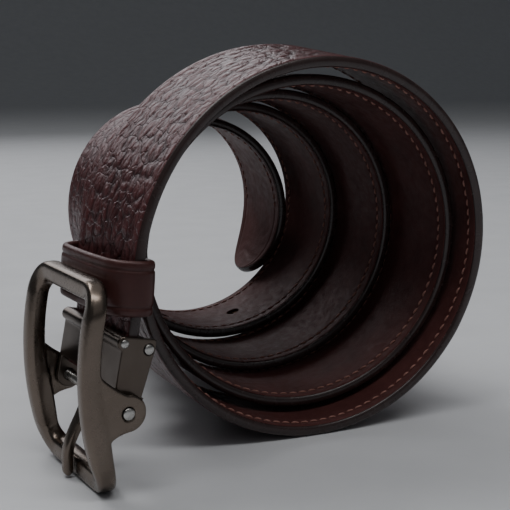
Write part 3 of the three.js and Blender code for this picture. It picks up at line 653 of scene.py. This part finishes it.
def stitch_row(name, across, seed, node_name):
    middles = np.arange(stitch_start, strap_length - tip_length, stitch_pitch)
    wander = np.random.default_rng(seed).uniform(-1, 1, (3, len(middles), 1))
    t = np.linspace(-1, 1, stitch_steps)[None, :]
    slant = stitch_slant * (1 + 0.3 * wander[0])
    half = stitch_length / 2 * (1 + 0.07 * wander[1])
    along = middles[:, None] + t * half * np.cos(slant)
    drift = across + t * half * np.sin(slant) + 0.05 * mm * wander[2]
    thick = thread_radius * np.sqrt(1.02 - np.abs(t) ** 3)
    height = strap_thickness + thread_radius * (0.30 - 0.75 * t * t)
    turns = np.arange(stitch_sides) * 2 * math.pi / stitch_sides
    deep = height[..., None] + thick[..., None] * np.cos(turns)
    wide = drift[..., None] + thick[..., None] * np.sin(turns)
    points = on_strap(along[..., None], wide, deep) + coil_centre
    one = []
    for i in range(stitch_steps - 1):
        for j in range(stitch_sides):
            n = (j + 1) % stitch_sides
            low, high = i * stitch_sides, (i + 1) * stitch_sides
            one.append((low + j, low + n, high + n, high + j))
    one.append(tuple(reversed(range(stitch_sides))))
    one.append(tuple(range((stitch_steps - 1) * stitch_sides, stitch_steps * stitch_sides)))
    size = stitch_sides * stitch_steps
    faces = [tuple(k * size + c for c in face) for k in range(len(middles)) for face in one]
    row = mesh_object(name, points.reshape(-1, 3), faces)
    face_out(row)
    row.data.materials.append(thread)
    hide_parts(node_name)
    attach(row, "strap")


stitch_row("front_stitching", stitch_inset, 7, "front_stitch_row")
stitch_row("back_stitching", strap_width - stitch_inset, 19, "back_stitch_row")


# ---- Keeper loop ----
# A band of the same brown leather with turned edges, creased near both rims and closed behind
# the strap by a wire staple. It bows forward a little, to leave room for the strap's free end.
coarse_length = travelled(coarse[:, :2])


def seat_on_strap(from_butt):
    """The place on the strap's middle: X outward, Y to the front and Z up the strap."""
    middle = on_strap(from_butt, strap_width / 2, strap_thickness / 2) + coil_centre
    after = max(int(np.searchsorted(coarse_length, from_butt - 1e-9)), 1)
    last, nxt = coarse[after - 1], coarse[after]
    along = np.array([nxt[0] - last[0], 0, nxt[1] - last[1]])
    along /= np.linalg.norm(along)
    way = coarse_way[after - 1]
    tilt = last[3]
    across = np.array([-way[1] * math.sin(tilt), math.cos(tilt), way[0] * math.sin(tilt)])
    outward = np.cross(-across, along)
    outward /= np.linalg.norm(outward)
    square = np.cross(along, outward)
    basis = Matrix([outward, square, along]).transposed().to_4x4()
    return Matrix.Translation(Vector(middle)) @ basis


def place(made, matrix):
    made.data.transform(matrix)
    made.data.update()
    return made


keeper_wall = 1.7 * mm
keeper_height = 12.5 * mm
keeper_clearance = 0.8 * mm
keeper_room = 1.0 * mm
keeper_side_clearance = 0.6 * mm
keeper_side = strap_width / 2 + keeper_side_clearance
keeper_from_butt = 23.6 * mm
keeper_bow = 1.0 * mm
keeper_front_corner = 4.8 * mm
keeper_back_corner = 1.3 * mm
keeper_back = -(strap_thickness / 2 + keeper_clearance)
keeper_front = keeper_back + 2 * strap_thickness + keeper_room


def arc(x, y, radius, start, end, steps):
    turns = np.radians(np.linspace(start, end, steps))
    return np.stack([x + radius * np.cos(turns), y + radius * np.sin(turns)], -1)


def even_loop(points, count):
    """A closed line of points spaced evenly again."""
    closed = np.vstack([points, points[:1]])
    length = travelled(closed)
    even = np.linspace(0, length[-1], count, endpoint=False)
    return np.stack([np.interp(even, length, closed[:, k]) for k in range(2)], -1)


front_at = keeper_front - keeper_front_corner
front_side = keeper_side - keeper_front_corner
back_at = keeper_back + keeper_back_corner
back_side = keeper_side - keeper_back_corner
keeper_line = np.vstack([
    arc(front_at, -front_side, keeper_front_corner, -90, 0, 16),
    arc(front_at, front_side, keeper_front_corner, 0, 90, 16),
    arc(back_at, back_side, keeper_back_corner, 90, 180, 8),
    arc(back_at, -back_side, keeper_back_corner, 180, 270, 8),
])
keeper_line = even_loop(keeper_line, 220)
forward = smoothstep(0, keeper_front, keeper_line[:, 0])
keeper_line[:, 0] += keeper_bow * forward * (1 - (keeper_line[:, 1] / keeper_side) ** 2)
keeper_way = direction(keeper_line, looped=True)
keeper_out = np.stack([keeper_way[:, 1], -keeper_way[:, 0]], -1)
rim_radius = 0.80 * mm
keeper_crease_at = 2.1 * mm
keeper_crease = 0.26 * mm
half_height = keeper_height / 2
outside = np.linspace(-half_height + rim_radius, half_height - rim_radius, 61)
section = [(keeper_wall, z) for z in outside]
section += list(arc(keeper_wall - rim_radius, half_height - rim_radius, rim_radius, 0, 90, 6)[1:])
section += list(arc(rim_radius, half_height - rim_radius, rim_radius, 90, 180, 6))
section += list(arc(rim_radius, -half_height + rim_radius, rim_radius, 180, 270, 6))
section += list(arc(keeper_wall - rim_radius, -half_height + rim_radius, rim_radius, 270, 360, 6)[:-1])
section = np.array(section)
from_rim = half_height - np.abs(section[:, 1])
keeper_dip = keeper_crease * np.exp(-(((from_rim - keeper_crease_at) / (0.34 * mm)) ** 2))
keeper_swell = 0.20 * mm * (1 - (section[:, 1] / half_height) ** 2)
section[:, 0] += np.where(section[:, 0] > keeper_wall - 0.02 * mm, keeper_swell - keeper_dip, 0)
keeper_xy = keeper_line[:, None, :] + keeper_out[:, None, :] * section[None, :, 0, None]
keeper_z = np.broadcast_to(section[None, :, 1], keeper_xy.shape[:2])
keeper_rings = np.concatenate([keeper_xy, keeper_z[..., None]], -1)
keeper = place(skin("keeper_band", keeper_rings, looped=True), seat_on_strap(keeper_from_butt))
band, band_tree, band_shader = shader("keeper_leather", roughness=0.38, specular=0.45)
band_shader.inputs["Specular Tint"].default_value = (1.0, 0.80, 0.80, 1)
dye(band_tree, band_shader, noise(band_tree, 170, 6, 0.6), [
    (0.3, (0.042, 0.0150, 0.0135)),
    (0.7, (0.066, 0.0245, 0.0220)),
])
polish(band_tree, band_shader, noise(band_tree, 500, 5), [(0.3, 0.30), (0.7, 0.44)])
band_grain = bump(band_tree, band_shader, noise(band_tree, 1100, 5, 0.55), 0.05 * mm, 0.6)
bump(band_tree, band_shader, noise(band_tree, 4000, 3), 0.02 * mm, 0.5, band_grain)
keeper.data.materials.append(band)
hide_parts("keeper_loop")
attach(keeper, "keeper")


# ---- Keeper staple ----
# A bent steel wire pressed through the keeper's overlap behind the strap.
staple_wire = 0.35 * mm
staple_half = 3.5 * mm
staple_bend = 0.7 * mm
staple_x = keeper_back - keeper_wall - staple_wire - 0.05 * mm
staple_end = -staple_half + staple_wire
staple_corner = arc(staple_x + staple_bend, staple_end + staple_bend, staple_bend, 250, 180, 7)
staple_line = [(staple_x + 1.1 * mm, staple_end), *map(tuple, staple_corner)]
staple_line += [(x, -y) for x, y in reversed(staple_line)]
steel, steel_tree, steel_shader = shader("bright_steel", roughness=0.28, metallic=1.0)
dye(steel_tree, steel_shader, noise(steel_tree, 300, 5), [
    (0.3, (0.42, 0.41, 0.39)),
    (0.7, (0.56, 0.55, 0.53)),
])
polish(steel_tree, steel_shader, noise(steel_tree, 500, 4, 0.6), [(0.3, 0.22), (0.7, 0.34)])
bump(steel_tree, steel_shader, noise(steel_tree, 700, 3), 0.008 * mm, 0.4)


def wire(name, line, radius, sides=14):
    """A round wire along points (x, y) at z 0, with flat ends."""
    line = np.array([(x, y, 0) for x, y in line])
    up = np.array([0, 0, 1.0])
    rings = []
    for p, w in zip(line, direction(line)):
        sidewise = np.cross(up, w)
        turns = np.arange(sides) * 2 * math.pi / sides
        rings.append([p + radius * (math.cos(a) * sidewise + math.sin(a) * up) for a in turns])
    return skin(name, np.array(rings))


staple = place(wire("wire_staple", staple_line, staple_wire), seat_on_strap(keeper_from_butt))
staple.data.materials.append(steel)
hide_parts("keeper_staple")
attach(staple, "keeper")


# ---- Clamp shell ----
# A die-cast channel, plated gunmetal: a face plate in front of the strap's butt, with a hood over
# the bar across its mouth, and an ear at each side, bored for the three pins.
def gunmetal_finish(name, dark, light, rough_low, rough_high):
    material, tree, principled = shader(name, roughness=0.32, metallic=1.0)
    dye(tree, principled, noise(tree, 90, 6, 0.6), [(0.3, dark), (0.7, light)])
    polish(tree, principled, noise(tree, 300, 4, 0.55), [(0.25, rough_low), (0.75, rough_high)])
    bump(tree, principled, noise(tree, 350, 3), 0.012 * mm, 0.3)
    return material


gunmetal = gunmetal_finish("satin_gunmetal", (0.160, 0.128, 0.106), (0.196, 0.160, 0.134), 0.24, 0.30)
# The clamp and its jaw get a darker copy of the same gunmetal, as painted shade.
clamp_metal_painted_shade = gunmetal_finish("gunmetal_painted_shade", (0.105, 0.085, 0.072), (0.130, 0.107, 0.092), 0.28, 0.34)


def plate(outlines, low, high, bevel=0.18 * mm):
    """A plate of outlines in outward and up (later ones are holes), across from low to high."""
    curve = bpy.data.curves.new("plate", "CURVE")
    curve.dimensions = "2D"
    curve.fill_mode = "BOTH"
    curve.extrude = (high - low) / 2 - bevel
    curve.bevel_depth = bevel
    curve.bevel_resolution = 2
    curve.offset = -bevel
    for outline in outlines:
        line = curve.splines.new("POLY")
        line.points.add(len(outline) - 1)
        for point, (x, y) in zip(line.points, outline):
            point.co = (x, y, 0, 1)
        line.use_cyclic_u = True
    made = bpy.data.objects.new("plate", curve)
    bpy.context.scene.collection.objects.link(made)
    bpy.context.view_layer.update()
    mesh = bpy.data.meshes.new_from_object(made.evaluated_get(bpy.context.evaluated_depsgraph_get()))
    bpy.data.objects.remove(made)
    mesh.transform(Matrix.Translation((0, (low + high) / 2, 0)) @ Matrix.Rotation(math.pi / 2, 4, "X"))
    return mesh


def fuse(made, voxel):
    remesh = made.modifiers.new("fuse", "REMESH")
    remesh.mode = "VOXEL"
    remesh.voxel_size = voxel
    bpy.ops.object.modifier_apply(modifier="fuse")


def cast(name, meshes, voxel, smoothing, cut=None):
    """One piece from overlapping closed meshes, fused, cut and with its edges softened."""
    work = bmesh.new()
    for mesh in meshes:
        work.from_mesh(mesh)
    bmesh.ops.remove_doubles(work, verts=work.verts, dist=0.002 * mm)
    mesh = bpy.data.meshes.new(name)
    work.to_mesh(mesh)
    work.free()
    made = bpy.data.objects.new(name, mesh)
    bpy.context.scene.collection.objects.link(made)
    bpy.context.view_layer.objects.active = made
    fuse(made, voxel)
    if cut:
        cutter = bpy.data.objects.new("cutter", cut)
        bpy.context.scene.collection.objects.link(cutter)
        cut_away(made, cutter)
        fuse(made, voxel)
    soften = made.modifiers.new("soften", "SMOOTH")
    soften.factor = 0.5
    soften.iterations = smoothing
    bpy.ops.object.modifier_apply(modifier="soften")
    made.data.polygons.foreach_set("use_smooth", [True] * len(made.data.polygons))
    return made


def curve_to(start, control, end, steps=8):
    """Points on a bend from start to end, pulled towards control; start is left out."""
    t = np.linspace(0, 1, steps + 1)[1:, None]
    start, control, end = map(np.array, (start, control, end))
    return (1 - t) ** 2 * start + 2 * t * (1 - t) * control + t * t * end


ear_clearance = 0.5 * mm
ear_thickness = 1.3 * mm
face_clearance = 0.35 * mm
face_thickness = 1.3 * mm
ear_inner = strap_width / 2 + ear_clearance
ear_outer = ear_inner + ear_thickness
face_inner = strap_thickness / 2 + face_clearance
face_outer = face_inner + face_thickness
clamp_mouth = 13 * mm
clamp_behind = 5.2 * mm
ear_foot_radius = 3.2 * mm
face_top = clamp_mouth - 2.6 * mm
face_foot = 1.2 * mm
slot_length = 3.2 * mm
mouth_bar_radius = 0.9 * mm
mouth_bar_drop = 1.5 * mm
hood_wall = 0.7 * mm
jaw_pin_radius = 1.1 * mm
jaw_pin_drop = 2.4 * mm
jaw_barrel_radius = 1.8 * mm
tooth_height = 0.8 * mm
tooth_clearance = 0.3 * mm
frame_pin_radius = 1.3 * mm
frame_pin_drop = 3.6 * mm
pin_clearance = 0.1 * mm
prong_width = 4.2 * mm
notch_clearance = 0.3 * mm
mouth_bar_at = (face_inner + mouth_bar_radius, clamp_mouth - mouth_bar_drop)
jaw_back = -(strap_thickness / 2 + tooth_clearance)
jaw_pin_at = (jaw_back - jaw_barrel_radius, clamp_mouth - jaw_pin_drop)
frame_pin_at = (0, -frame_pin_drop)
clamp_seat = seat_on_strap(0)


def ring_line(x, y, radius, steps=36):
    return arc(x, y, radius, 0, 360 - 360 / steps, steps)


ear_top = (-clamp_behind + 0.6 * mm, clamp_mouth)
ear_line = np.vstack([
    [ear_top],
    curve_to(ear_top, (-clamp_behind, clamp_mouth), (-clamp_behind, clamp_mouth - 1.5 * mm)),
    [(-ear_foot_radius - 0.8 * mm, 2 * mm)],
    arc(0, -frame_pin_drop, ear_foot_radius, 180, 360, 24),
    [(face_outer, face_foot), (face_outer, clamp_mouth)],
])
bores = [
    ring_line(*frame_pin_at, frame_pin_radius + pin_clearance),
    ring_line(*jaw_pin_at, jaw_pin_radius + pin_clearance),
    ring_line(*mouth_bar_at, mouth_bar_radius + pin_clearance),
]
slot_half = prong_width / 2 + notch_clearance
face_half = ear_outer - 0.2 * mm
face_line = [
    (-face_half, face_foot), (-slot_half, face_foot), (-slot_half, face_foot + slot_length),
    (slot_half, face_foot + slot_length), (slot_half, face_foot), (face_half, face_foot),
    (face_half, face_top), (-face_half, face_top),
]
face_plate = plate([face_line], -face_thickness / 2, face_thickness / 2)
face_plate.transform(Matrix.Rotation(math.pi / 2, 4, "Z"))
face_plate.transform(Matrix.Translation(((face_inner + face_outer) / 2, 0, 0)))
near_ear = plate([ear_line, *bores], -ear_outer, -ear_inner)
far_ear = plate([ear_line, *bores], ear_inner, ear_outer)
hood_outside = arc(*mouth_bar_at, mouth_bar_radius + hood_wall, -105, 105, 30)
hood_inside = arc(*mouth_bar_at, mouth_bar_radius + pin_clearance, 95, -95, 30)
hood = plate([np.vstack([hood_outside, hood_inside])], -face_half, face_half, 0.12 * mm)
clamp = place(cast("clamp_channel", [near_ear, far_ear, face_plate, hood], 0.2 * mm, 3), clamp_seat)
# Its colour is the gunmetal darkened as painted shade.
clamp.data.materials.append(clamp_metal_painted_shade)
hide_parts("clamp_shell")
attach(clamp, "strap")


# ---- Clamp jaw ----
# A cast lever behind the strap: a barrel on its pin, saw teeth that bite the lining, and a lip
# at the foot that a thumbnail lifts.
jaw_side_clearance = 0.4 * mm
jaw_half = ear_inner - jaw_side_clearance
jaw_length = 11 * mm
jaw_thickness = 1 * mm
tooth_pitch = 1.8 * mm
tooth_lean = 0.35
toothless_room = 2 * mm
plate_out = jaw_back - tooth_height
plate_in = plate_out - jaw_thickness
foot = jaw_pin_at[1] - jaw_length
heel = foot + 1.5 * mm
lip_back = (plate_in - 1.6 * mm, foot - 0.6 * mm)
lip_tip = (plate_in - 1.2 * mm, foot - 1.5 * mm)
jaw_line = [(plate_in, jaw_pin_at[1]), (plate_in, heel)]
jaw_line += list(curve_to((plate_in, heel), (plate_in, foot), lip_back))
jaw_line += [lip_tip]
jaw_line += list(curve_to(lip_tip, (plate_out, foot - 1 * mm), (plate_out, heel)))
for i in range(int((jaw_length - jaw_barrel_radius - toothless_room) / tooth_pitch)):
    jaw_line.append((jaw_back, heel + (i + tooth_lean) * tooth_pitch))
    jaw_line.append((plate_out, heel + (i + 1) * tooth_pitch))
jaw_line.append((plate_out, jaw_pin_at[1]))
barrel = plate([ring_line(*jaw_pin_at, jaw_barrel_radius), bores[1]], -jaw_half, jaw_half)
lever = plate([jaw_line], -jaw_half, jaw_half, 0.1 * mm)
jaw = place(cast("toothed_jaw", [lever, barrel], 0.2 * mm, 2), clamp_seat)
# Its colour is the gunmetal darkened as painted shade.
jaw.data.materials.append(clamp_metal_painted_shade)
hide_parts("clamp_jaw")
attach(jaw, "jaw")


# ---- Pins ----
# Turned steel pins, riveted over into low domes outside the ears and lugs.
pin_proud = 0.4 * mm
frame_width = 39 * mm
lug_clearance = 0.35 * mm
lug_inset = 0.4 * mm
lug_inner = ear_outer + lug_clearance
lug_outer = frame_width / 2 - lug_inset


def riveted_pin(name, radius, end, at, body, node_name, sides=32):
    head = radius * 1.12
    dome = np.radians([10, 30, 50, 70, 86])
    ends = [(end + pin_proud * math.sin(a), head * math.cos(a)) for a in dome]
    line = [(end, radius), *ends]
    line = [(-y, r) for y, r in reversed(line)] + line
    turns = np.arange(sides) * 2 * math.pi / sides
    rings = [[(at[0] + r * math.cos(a), y, at[1] + r * math.sin(a)) for a in turns] for y, r in line]
    made = place(skin(name, np.array(rings)), clamp_seat)
    made.data.materials.append(steel)
    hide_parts(node_name)
    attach(made, body)


riveted_pin("jaw_rivet", jaw_pin_radius, ear_outer, jaw_pin_at, "strap", "jaw_pin")
riveted_pin("mouth_rivet", mouth_bar_radius, ear_outer, mouth_bar_at, "strap", "mouth_bar")
riveted_pin("frame_rivet", frame_pin_radius, lug_outer, frame_pin_at, "strap", "frame_pin")


# ---- Buckle frame ----
# A cast ring, bowed to the waist and deeper along its sides, with a lug at each side that turns
# on the frame pin, satin-brushed and plated gunmetal. Its front bar has a notch for the prong.
above_pin = 29.5 * mm
below_pin = 19.7 * mm
bar_width = 5 * mm
bar_depth = 4.6 * mm
frame_corner = 8 * mm
over_keeper = 2.5 * mm
bow_radius = 76 * mm
bow_centre = 8 * mm
side_swell = 1.2 * mm
swell_below_pin = 5 * mm
swell_reach = 9 * mm
frame_hang = 1
lug_radius = 4.4 * mm
lug_top_slope = 6.5 * mm
frame_turn = Matrix.Rotation(math.radians(lead_pitch - frame_hang), 4, "Y")
frame_seat = clamp_seat @ Matrix.Translation((0, 0, -frame_pin_drop)) @ frame_turn


def frame_face(up):
    """How far out the bowed frame's face lies at a height above the pin."""
    sag = bow_radius - np.sqrt(bow_radius ** 2 - (up - bow_centre) ** 2)
    return keeper_front + keeper_wall + over_keeper + bar_depth / 2 - sag


def corner_arc(x, y, start):
    return arc(x, y, frame_corner, start, start + 90, 40)


frame_half = frame_width / 2
ring_half = frame_half - frame_corner
frame_line = even_loop(np.vstack([
    corner_arc(ring_half, -below_pin + frame_corner, -90),
    corner_arc(ring_half, above_pin - frame_corner, 0),
    corner_arc(-ring_half, above_pin - frame_corner, 90),
    corner_arc(-ring_half, -below_pin + frame_corner, 180),
]), 360)
frame_way = direction(frame_line, looped=True)
frame_in = np.stack([-frame_way[:, 1], frame_way[:, 0]], -1)
bar_section = np.array([
    [0.0, -0.45], [0.07, -0.93], [0.40, -1.03], [0.86, -0.93], [1.0, -0.50],
    [1.0, 0.62], [0.86, 1.0], [0.16, 1.0], [0.0, 0.62],
])
for _ in range(3):
    after = np.roll(bar_section, -1, 0)
    cut_corners = [0.75 * bar_section + 0.25 * after, 0.25 * bar_section + 0.75 * after]
    bar_section = np.stack(cut_corners, 1).reshape(-1, 2)
frame_up = frame_line[:, 1]
bar_deep = bar_depth + side_swell * np.exp(-(((frame_up + swell_below_pin) / swell_reach) ** 2))
bar_out = frame_face(frame_up)[:, None] - bar_deep[:, None] / 2 * (1 + bar_section[None, :, 1])
bar_yz = frame_line[:, None, :] + frame_in[:, None, :] * bar_section[None, :, 0, None] * bar_width
frame_ring = skin("ring", np.concatenate([bar_out[..., None], bar_yz], -1), looped=True)
root = float(frame_face(0)) - bar_depth / 2
lug_top = (root, lug_top_slope + lug_radius)
lug_line = np.vstack([
    [lug_top],
    curve_to(lug_top, (lug_radius * 0.8, lug_radius + 1.5 * mm), (0, lug_radius), 16),
    arc(0, 0, lug_radius, 90, 270, 36)[1:],
    curve_to((0, -lug_radius), (root * 0.55, -lug_radius - 0.5 * mm), (root, -lug_radius - 6 * mm), 16),
])
frame_bore = ring_line(0, 0, frame_pin_radius + pin_clearance)
near_lug = plate([lug_line, frame_bore], -lug_outer, -lug_inner, 0.3 * mm)
far_lug = plate([lug_line, frame_bore], lug_inner, lug_outer, 0.3 * mm)
prong_tip_width = 2.6 * mm
prong_thickness = 2.4 * mm
notch_depth = 1.2 * mm
bar_middle = -below_pin + bar_width / 2
notch_floor = float(frame_face(bar_middle)) - notch_depth
prong_inner = notch_floor + notch_clearance
notch_half = prong_tip_width / 2 + notch_clearance + 0.3 * mm
notch_low = -below_pin - 1 * mm
notch_high = -below_pin + bar_width + 1 * mm
notch_line = [
    (notch_floor, notch_low), (notch_floor + 7 * mm, notch_low),
    (notch_floor + 7 * mm, notch_high), (notch_floor, notch_high),
]
notch = plate([notch_line], -notch_half, notch_half, 0.3 * mm)
buckle = cast("bowed_frame", [frame_ring.data, near_lug, far_lug], 0.26 * mm, 14, notch)
bpy.data.objects.remove(frame_ring)
place(buckle, frame_seat)
buckle.data.materials.append(gunmetal)
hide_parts("buckle_frame")
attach(buckle, "frame")


# ---- Prong ----
# A cast tongue with an eye on the frame pin. It runs out and down behind the frame's bow and
# lies in the notch of the front bar.
eye_wall = 1.5 * mm
prong_knee = 1.9 * mm
short_of_bar = 0.3 * mm
prong_eye = frame_pin_radius + pin_clearance + eye_wall
prong_spine = np.array([
    (prong_eye * 0.45, -1 * mm),
    (prong_eye * 0.45 + prong_knee, -below_pin * 0.25),
    (prong_inner + prong_thickness * 0.35, -below_pin * 0.62),
    (prong_inner + prong_thickness / 2, -below_pin + short_of_bar),
])
prong_line = smooth_rows(prong_spine, 14)
prong_way = direction(prong_line)
prong_share = np.linspace(0, 1, len(prong_line))
prong_wide = (prong_width + (prong_tip_width - prong_width) * prong_share) / 2
tip_round = np.sqrt(np.clip(1 - ((prong_share - 0.93) / 0.075).clip(0) ** 2, 0.05, 1))
prong_wide = prong_wide * (0.45 + 0.55 * tip_round)
prong_thick = prong_thickness / 2 * tip_round
turns = np.linspace(0, 2 * math.pi, 24, endpoint=False)
oval_side = np.sign(np.cos(turns)) * np.abs(np.cos(turns)) ** 0.6
oval_deep = np.sign(np.sin(turns)) * np.abs(np.sin(turns)) ** 0.7
prong_outward = np.stack([-prong_way[:, 1], prong_way[:, 0]], -1)
prong_deep = prong_thick[:, None] * oval_deep[None, :]
prong_out = prong_line[:, None, 0] + prong_outward[:, None, 0] * prong_deep
prong_up = prong_line[:, None, 1] + prong_outward[:, None, 1] * prong_deep
prong_side = prong_wide[:, None] * oval_side[None, :]
prong_rod = skin("rod", np.stack([prong_out, prong_side, prong_up], -1))
eye = plate([ring_line(0, 0, prong_eye), frame_bore], -prong_width / 2, prong_width / 2, 0.25 * mm)
prong = place(cast("prong_tongue", [prong_rod.data, eye], 0.16 * mm, 3), frame_seat)
bpy.data.objects.remove(prong_rod)
prong.data.materials.append(gunmetal)
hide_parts("prong")
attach(prong, "prong")
